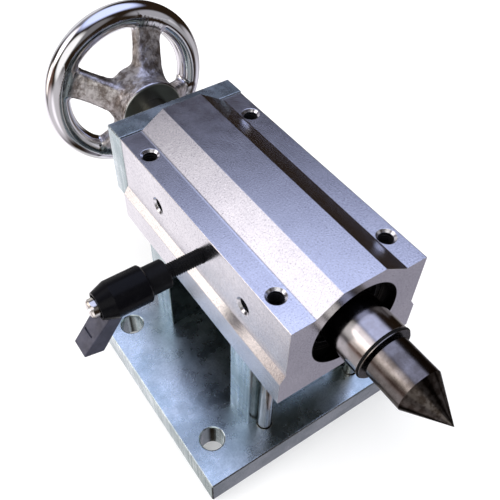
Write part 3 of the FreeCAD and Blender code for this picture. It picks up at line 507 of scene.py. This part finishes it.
def wheel_finish():
    """Chrome plate: mirror bright on the turned rim, rough and grimy on the cast spokes and hub,
    rougher and with painted shade on the hub's front face.
    """
    f = Finish("polished_chrome")
    y, radius = f.around_axis()
    off_r = f.math("SUBTRACT", radius, RIM_CENTRE_R * MM)
    off_y = f.math("SUBTRACT", y, RIM_Y * MM)
    tube = f.hypotenuse(off_r, off_y)
    cast = f.span(tube, (RIM_R + 0.15) * MM, (RIM_R + 2.2) * MM)
    face = f.span(y, (HUB_FRONT + 0.4) * MM, (HUB_FRONT + 1.8) * MM)
    cast = f.math("MULTIPLY", cast, face)
    skin = f.noise(420.0, 6.0, 0.66)
    pores = f.span(f.spots(620.0), 0.05, 0.34)
    f.bump(f.math("MULTIPLY", skin, cast), 0.00030)
    f.bump(f.math("MULTIPLY", f.math("SUBTRACT", pores, 1.0), cast), 0.00008)
    f.bump(f.noise(70.0, 2.0), 0.00001)
    grime = f.math("MULTIPLY", f.span(f.noise(170.0, 6.0, 0.75), 0.38, 0.62), cast)
    rub = f.span(f.streaks((160.0, 900.0, 160.0), 3.0, 0.6), 0.62, 0.74, 0.0, 0.2)
    colour = f.mix(f.math("MULTIPLY", cast, 0.45), (0.80, 0.80, 0.83), (0.50, 0.44, 0.40))
    colour = f.mix(f.math("MULTIPLY", grime, 0.85), colour, (0.13, 0.098, 0.078))
    colour = f.mix(rub, colour, (0.58, 0.58, 0.60))
    # Painted shade: the hub's turned front face is coloured dark olive. It is also made rougher.
    within_hub = f.span(radius, HUB_R * MM, (HUB_R - 0.8) * MM)
    shaded_matte_face = f.math("MULTIPLY", f.math("SUBTRACT", 1.0, face), within_hub)
    colour = f.mix(shaded_matte_face, colour, (0.22, 0.23, 0.20))
    rough = f.math("MULTIPLY", f.math("MAXIMUM", cast, shaded_matte_face), 0.30)
    rough = f.math("ADD", rough, f.span(f.noise(240.0, 4.0), 0.3, 0.7, 0.05, 0.12))
    return f.done(colour, rough)


def black_finish(name, colour, rough, grain, worn_colour, coat=0.0):
    """Black plastic, rubber or oxide: fine texture, dust and rubbed edges."""
    f = Finish(name, 0.0)
    worn = f.rounded_edges(0.0004)
    dust = f.span(f.noise(240.0, 5.0, 0.7), 0.52, 0.72, 0.0, 0.5)
    base = f.mix(dust, colour, tuple(c * 2.2 for c in colour))
    worn = f.math("MULTIPLY", worn, f.span(f.noise(600.0, 3.0), 0.4, 0.6))
    f.bump(f.noise(grain, 3.0, 0.6), 0.00001)
    f.shader.inputs["Specular IOR Level"].default_value = 0.07
    f.shader.inputs["Coat Weight"].default_value = coat
    f.shader.inputs["Coat Roughness"].default_value = 0.16
    roughness = f.span(f.noise(300.0, 4.0), 0.3, 0.7, rough * 0.8, rough * 1.25)
    return f.done(f.mix(worn, base, worn_colour), roughness)


FINISHES = {
    "zinc_plated_steel": zinc_finish(),
    "housing_aluminium": housing_finish(),
    "polished_chrome": wheel_finish(),
    "bright_steel": metal(
        "bright_steel", (0.82, 0.79, 0.74), (0.62, 0.59, 0.55), (0.92, 0.90, 0.87), 0.17,
        lines=((90.0, 90.0, 2600.0), 2e-6, 0.4)),
    "ground_steel": metal(
        "ground_steel", (0.55, 0.53, 0.53), (0.40, 0.37, 0.355), (0.70, 0.67, 0.64), 0.13,
        lines=((22.0, 2600.0, 22.0), 5e-6, 0.5), pits=(800.0, 0.00002), grazing=0.6),
    "turned_steel": metal(
        "turned_steel", (0.25, 0.232, 0.225), (0.125, 0.11, 0.10), (0.38, 0.35, 0.32), 0.18,
        mottle=90.0, lines=((30.0, 2300.0, 30.0), 1.4e-5, 0.6), pits=(700.0, 0.00003),
        grazing=0.45, darker_tip=(CONE_START, (0.032, 0.025, 0.021))),
    "bearing_steel": metal(
        "bearing_steel", (0.74, 0.74, 0.75), (0.60, 0.60, 0.62), (0.9, 0.9, 0.9), 0.1,
        lines=((40.0, 2600.0, 40.0), 1e-6, 0.3)),
    "cage_steel": metal(
        "cage_steel", (0.62, 0.60, 0.58), (0.45, 0.43, 0.41), (0.8, 0.8, 0.78), 0.28),
    "spring_steel": metal(
        "spring_steel", (0.08, 0.08, 0.09), (0.04, 0.04, 0.045), (0.2, 0.2, 0.21), 0.3),
    "bronze": metal(
        "bronze", (0.70, 0.44, 0.20), (0.52, 0.31, 0.13), (0.86, 0.62, 0.34), 0.24,
        lines=((30.0, 2400.0, 30.0), 4e-6, 0.4)),
    "lever_grey": metal(
        "lever_grey", (0.075, 0.078, 0.112), (0.052, 0.054, 0.078), (0.17, 0.17, 0.21), 0.38,
        mottle=150.0, bevel=0.0004, metallic=0.5),
    "black_oxide_steel": black_finish(
        "black_oxide_steel", (0.005, 0.005, 0.006), 0.36, 1500.0, (0.04, 0.04, 0.04)),
    "black_rubber": black_finish(
        "black_rubber", (0.006, 0.006, 0.006), 0.5, 2200.0, (0.02, 0.02, 0.02)),
    "cage_plastic": black_finish(
        "cage_plastic", (0.05, 0.045, 0.035), 0.45, 1200.0, (0.10, 0.09, 0.08)),
    "lever_black": black_finish(
        "lever_black", (0.003, 0.003, 0.004), 0.26, 1700.0, (0.02, 0.02, 0.025), coat=0.03),
}


def paint(piece, material):
    piece.data.materials.clear()
    piece.data.materials.append(material)


for part in record["subparts"]:
    paint(nodes[part["node"]], FINISHES[part["material_slot"]])


SHIELD_RIM = (14.5, 14.68)                       # radii between which the black face turns bright


def shield_finish():
    """The nose shield: blackened face, bright turned rim."""
    f = Finish("nose_shield_finish")
    _, radius = f.around_axis()
    rim = f.span(radius, SHIELD_RIM[0] * MM, SHIELD_RIM[1] * MM)
    f.bump(f.noise(1800.0, 2.0), 0.000005)
    dust = f.span(f.noise(300.0, 4.0), 0.45, 0.7)
    face = f.mix(dust, (0.012, 0.011, 0.010), (0.03, 0.027, 0.025))
    return f.done(f.mix(rim, face, (0.26, 0.24, 0.22)), f.span(dust, 0.0, 1.0, 0.25, 0.4))


paint(nodes["nose_shield"], shield_finish())


def install(piece, body, slot, *replaced):
    """Finishes a new piece, rides it on its body and lets it stand for CAD nodes."""
    paint(piece, FINISHES[slot])
    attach(piece, body)
    if replaced:
        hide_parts(*replaced)


# ---- detailed pieces ---------------------------------------------------------
def cast_handwheel():
    reach = RIM_CENTRE_R + RIM_R + 2
    low = (-reach, HUB_FRONT - 2, AXIS_Z - reach)
    high = (reach, RIM_Y + RIM_R + 2, AXIS_Z + reach)
    return surface_net("cast_handwheel", wheel_field, low, high, VOXEL)


install(cast_handwheel(), "wheel_body", "polished_chrome", "handwheel")

STUD_TIP, STUD_R, STUD_PITCH, STUD_DEPTH = -20.05, 4.0, 1.25, 0.62
INSERT_X, INSERT_R, INSERT_END, STUB_R, STUB_END = -57.0, 7.4, -67.9, 5.0, -80.4
SCREW_HOLE_R, SCREW_HOLE_END = 2.55, -70.4


def threaded_stud():
    """Clamp stud: rolled thread, smooth insert, and the stub inside the lever's hub."""
    rows = [(STUD_TIP, 0, 0), (STUD_TIP, STUD_R - 0.8, 0)]
    rows += thread_rows(STUD_TIP - 0.8, INSERT_X + 0.6, STUD_R, STUD_DEPTH, STUD_PITCH)
    rows += [(INSERT_X, STUD_R - 0.3, 0), (INSERT_X, STUD_R + 0.1, 0),
             (INSERT_X, INSERT_R - 0.8, 0), (INSERT_X - 0.1, INSERT_R - 0.5, 0),
             (INSERT_X - 0.5, INSERT_R - 0.1, 0), (INSERT_X - 0.8, INSERT_R, 0),
             (INSERT_X - 0.9, INSERT_R, 0), (INSERT_END + 0.1, INSERT_R, 0),
             (INSERT_END, INSERT_R, 0), (INSERT_END, INSERT_R - 0.1, 0), (INSERT_END, STUB_R, 0),
             (STUB_END, STUB_R, 0), (STUB_END, SCREW_HOLE_R, 0), (SCREW_HOLE_END, SCREW_HOLE_R, 0),
             (SCREW_HOLE_END, 0, 0)]
    return lathe("threaded_clamp_stud", rows, about_x, 48, STUD_PITCH)


install(threaded_stud(), "clamp_screw", "black_oxide_steel", "clamp_stud")

SCREW_FRONT, SCREW_R, SCREW_LEAD, SCREW_DEPTH = -2.0, 6.0, 3.0, 1.5
SCREW_SHOULDER, SCREW_FLANGE_R, SCREW_SEAT = 70.0, 9.5, 74.0
TAIL_R, TAIL_END = 5.0, 150.0
SLOT_FLOOR, SLOT_HALF_W, SLOT_FROM, SLOT_TO = 3.5, 2.05, 114.0, 130.0


def trapezoidal_screw():
    """Feed screw: thread in the nut, thrust flange, keyed seat of the wheel."""
    def keyway(along, r, angle):
        in_slot = SLOT_FROM <= along <= SLOT_TO and math.sin(angle) > 0
        if in_slot and abs(r * math.cos(angle)) < SLOT_HALF_W:
            return min(r, SLOT_FLOOR / math.sin(angle))
        return r
    rows = [(SCREW_FRONT, 0, 0), (SCREW_FRONT, SCREW_R - 1, 0)]
    rows += thread_rows(SCREW_FRONT + 1, SCREW_SHOULDER - 4, SCREW_R, SCREW_DEPTH, SCREW_LEAD)
    rows += [(SCREW_SHOULDER, SCREW_R, 0), (SCREW_SHOULDER, SCREW_FLANGE_R, 0),
             (SCREW_SEAT, SCREW_FLANGE_R, 0), (SCREW_SEAT, SCREW_R, 0)]
    rows += [(y, SCREW_R, 0) for y in (SLOT_FROM - 0.01, SLOT_FROM, SLOT_TO, SLOT_TO + 0.01)]
    rows += [(HUB_REAR, SCREW_R, 0), (HUB_REAR, TAIL_R, 0)]
    rows += [(TAIL_END - 0.9, TAIL_R, 0), (TAIL_END, TAIL_R - 0.9, 0), (TAIL_END, 0, 0)]
    return lathe("trapezoidal_feed_screw", rows, about_y, 96, SCREW_LEAD, keyway)


install(trapezoidal_screw(), "wheel_body", "ground_steel", "feed_screw")


def tapped_threads():
    """The threads inside the flange holes and the side holes."""
    pattern = next(m for m in record["mounts"] if m["name"] == "flange_threads")
    half_x, half_y = pattern["dims"]["spacing_x_mm"] / 2, pattern["dims"]["spacing_y_mm"] / 2
    wall_r = pattern["dims"]["hole_r_mm"]
    bolt_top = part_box("body_bolts")[1].z / MM
    points, faces = [], []
    for sx in (-1, 1):
        for sy in (-1, 1):
            foot = Vector((sx * half_x, sy * half_y, bolt_top + BOLT_GAP))
            length = pattern["pos_m"][2] / MM - TAP_CLEAR - foot.z
            helical_ridge(points, faces, foot, Vector((0, 0, 1)), length, wall_r)
    inner_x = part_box("bush_set_screws")[0].x / MM - TAP_CLEAR
    length = inner_x - (SIDE_X + SIDE_MOUTH)
    for y in SIDE_HOLES_Y:
        start = Vector((inner_x, y, middle("bush_set_screws").z))
        helical_ridge(points, faces, start, Vector((-1, 0, 0)), length, wall_r)
    return add_mesh("tapped_threads", points, faces)


install(tapped_threads(), "base", "black_oxide_steel")

# ---- floor, light, camera ----------------------------------------------------
FLOOR_SIZE, FLOOR_Z = 6.0, -0.0002               # metres
CAMERA_PLACE, CAMERA_LENS, CAMERA_SHIFT = (-138.96, -181.0, 346.9), 46.004, (0.0193, 0.0693)
CAMERA_TURN_AXIS, CAMERA_TURN = (2.3766, -0.7243, 0.2734), 2.4996
LAMP_AIM, LAMP_SIZE = Vector((0, 0, 0.07)), 1.2  # metres


def studio_floor():
    """A white floor that glows a little, so that it meets the backdrop without a line."""
    half = FLOOR_SIZE / 2
    mesh = bpy.data.meshes.new("studio_floor")
    corners = ((-half, -half), (half, -half), (half, half), (-half, half))
    mesh.from_pydata([(x, y, FLOOR_Z) for x, y in corners], [], [(0, 1, 2, 3)])
    floor = bpy.data.objects.new("studio_floor", mesh)
    bpy.context.scene.collection.objects.link(floor)
    f = Finish("studio_floor", 0.0)
    colour = f.mix(f.noise(3.0, 2.0), (0.74, 0.74, 0.745), (0.76, 0.76, 0.76))
    f.shader.inputs["Emission Color"].default_value = (1.0, 1.0, 1.0, 1.0)
    f.shader.inputs["Emission Strength"].default_value = 0.30
    mesh.materials.append(f.done(colour, 0.9))
    floor.visible_glossy = False


LOBES = [                                        # towards, cosine where it starts and is full, colour
    ((0.0, 0.0, 1.0), -1.1, -1.0, (0.023, 0.014, 0.008)),        # dim brown room
    ((0.17, 0.12, 0.98), 0.74, 0.92, (0.90, 1.01, 1.48)),        # cool panel overhead
    ((-0.66, 0.42, 0.62), 0.90, 0.985, (1.60, 1.52, 1.60)),      # white wall, back left
    ((-0.81, 0.35, 0.47), 0.955, 0.99, (1.2, 1.1, 1.0)),         # its bright middle
    ((-0.86, 0.47, 0.17), 0.965, 0.99, (0.9, 0.86, 0.84)),       # its foot
    ((-0.78, 0.62, -0.06), 0.955, 0.985, (1.5, 1.36, 1.25)),     # warm low card, back left
    ((-0.7, -0.55, 0.46), 0.85, 0.95, (1.2, 1.18, 1.15)),        # white card, front left
    ((-0.12, -0.84, 0.52), 0.91, 0.975, (0.18, 0.18, 0.19)),     # window in front
    ((0.72, -0.66, 0.20), 0.90, 0.98, (0.40, 0.40, 0.43)),       # window, front right
    ((0.05, 0.97, 0.05), 0.86, 0.97, (0.70, 0.70, 0.72)),        # window at the back
    ((-0.97, 0.2, -0.02), 0.93, 0.98, (0.12, 0.06, 0.045)),      # brown horizon
    ((-0.8, 0.0, -0.55), 0.80, 0.95, (0.70, 0.67, 0.70)),        # pale ground, left
    ((-0.65, -0.6, -0.45), 0.80, 0.95, (0.60, 0.58, 0.60)),      # pale ground, front left
    ((-0.28, 0.72, -0.63), 0.85, 0.98, (1.10, 1.05, 1.10)),      # pale ground, back left
    ((0.40, 0.50, -0.77), 0.93, 0.985, (0.80, 0.80, 0.82)),      # pale ground, back right
    ((0.45, -0.15, -0.88), 0.78, 0.93, (0.32, 0.31, 0.37)),      # grey ground, front
    ((-0.12, 0.86, 0.50), 0.91, 0.98, (0.26, 0.26, 0.29)),       # grey wall, back
    ((0.16, -0.72, -0.67), 0.965, 0.99, (0.62, 0.62, 0.68)),     # pale ground, front
    ((0.66, -0.72, -0.20), 0.95, 0.985, (0.36, 0.36, 0.38)),     # its far part, front right
    ((0.88, -0.20, -0.42), 0.90, 0.97, (0.52, 0.51, 0.54)),      # pale ground, right
    ((0.74, 0.40, -0.56), 0.94, 0.985, (0.50, 0.49, 0.52)),      # its far part
    ((0.0, 0.2, -1.0), 0.90, 0.98, (0.62, 0.62, 0.62)),          # ground below
]


def studio_world():
    """The room that the metal reflects: bright above and at the back left, dark at the right.

    Matt surfaces get an even light instead, and the camera sees a plain backdrop.
    """
    world = bpy.data.worlds.new("studio")
    bpy.context.scene.world = world
    world.use_nodes = True
    tree = world.node_tree
    tree.nodes.clear()

    def made(kind, **settings):
        item = tree.nodes.new(kind)
        for key, value in settings.items():
            setattr(item, key, value)
        return item

    direction = made("ShaderNodeTexCoord").outputs["Generated"]

    def lobe(towards, from_cos, to_cos, colour):
        dot = made("ShaderNodeVectorMath", operation="DOT_PRODUCT")
        tree.links.new(direction, dot.inputs[0])
        dot.inputs[1].default_value = Vector(towards).normalized()
        ramp = made("ShaderNodeMapRange", interpolation_type="SMOOTHSTEP")
        tree.links.new(dot.outputs["Value"], ramp.inputs["Value"])
        ramp.inputs["From Min"].default_value = from_cos
        ramp.inputs["From Max"].default_value = to_cos
        scale = made("ShaderNodeVectorMath", operation="SCALE")
        scale.inputs[0].default_value = colour
        tree.links.new(ramp.outputs[0], scale.inputs["Scale"])
        return scale.outputs[0]

    total = None
    for item in LOBES:
        light = lobe(*item)
        if total is not None:
            add = made("ShaderNodeVectorMath", operation="ADD")
            tree.links.new(total, add.inputs[0])
            tree.links.new(light, add.inputs[1])
            light = add.outputs[0]
        total = light
    room, backdrop = made("ShaderNodeBackground"), made("ShaderNodeBackground")
    tree.links.new(total, room.inputs["Color"])
    backdrop.inputs["Color"].default_value = (0.98, 0.98, 0.985, 1)
    even = made("ShaderNodeBackground")
    even.inputs["Color"].default_value = (0.80, 0.80, 0.81, 1)
    path, output = made("ShaderNodeLightPath"), made("ShaderNodeOutputWorld")
    picked = room.outputs[0]
    for ray, light in (("Is Diffuse Ray", even), ("Is Camera Ray", backdrop)):
        choose = made("ShaderNodeMixShader")
        tree.links.new(path.outputs[ray], choose.inputs[0])
        tree.links.new(picked, choose.inputs[1])
        tree.links.new(light.outputs[0], choose.inputs[2])
        picked = choose.outputs[0]
    tree.links.new(picked, output.inputs[0])


def area_light(name, place, power, colour):
    light = bpy.data.lights.new(name, "AREA")
    light.shape, light.size, light.energy, light.color = "SQUARE", LAMP_SIZE, power, colour
    lamp = bpy.data.objects.new(name, light)
    bpy.context.scene.collection.objects.link(lamp)
    lamp.location = place
    lamp.visible_glossy = False
    aim = LAMP_AIM - Vector(place)
    lamp.rotation_euler = aim.to_track_quat("-Z", "Y").to_euler()


def camera():
    to_camera = Matrix.Rotation(CAMERA_TURN, 3, Vector(CAMERA_TURN_AXIS).normalized())
    right, down, ahead = to_camera[0], to_camera[1], to_camera[2]
    data = bpy.data.cameras.new("camera")
    data.sensor_width, data.lens = 36.0, CAMERA_LENS
    data.shift_x, data.shift_y = CAMERA_SHIFT
    data.clip_start, data.clip_end = 0.01, 50.0
    item = bpy.data.objects.new("camera", data)
    bpy.context.scene.collection.objects.link(item)
    basis = Matrix((right, -down, -ahead)).transposed()
    item.matrix_world = Matrix.Translation(Vector(CAMERA_PLACE) * MM) @ basis.to_4x4()
    bpy.context.scene.camera = item


studio_floor()
studio_world()
area_light("key_light", (-0.5, 0.4, 1.3), 10.0, (1.0, 0.99, 0.97))
area_light("fill_light", (0.3, -0.9, 1.2), 6.0, (0.95, 0.97, 1.0))
camera()
bpy.context.scene.view_settings.view_transform = "Standard"
